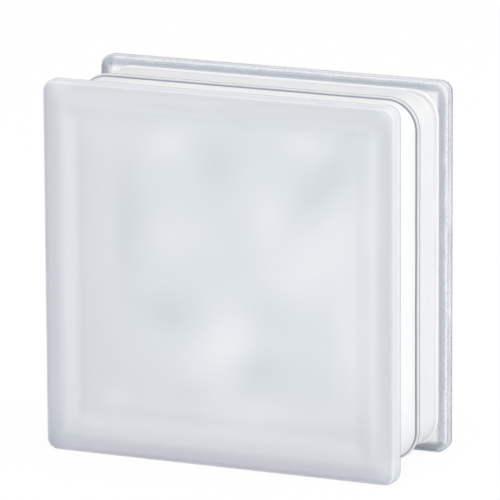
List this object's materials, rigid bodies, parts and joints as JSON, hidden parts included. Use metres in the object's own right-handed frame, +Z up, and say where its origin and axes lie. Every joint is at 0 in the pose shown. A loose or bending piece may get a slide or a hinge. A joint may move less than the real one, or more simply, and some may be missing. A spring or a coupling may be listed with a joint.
{
  "type": "glass block",
  "caption": "Hollow pressed glass wall block with a satin face, a clear face, inner waves and a mortar channel round its edge.",
  "frame": {"origin": "middle of the rectangle that the block stands on, on the floor", "axes": "+X along the block's width, +Y from the satin face to the clear face, +Z up"},
  "size_m": [0.19, 0.08, 0.19],
  "materials": {
    "pressed_glass": "fire-polished clear glass, satin-etched on the front face"
  },
  "bodies": {
    "root": {"glass_block": "pressed_glass"}
  },
  "joints": []
}
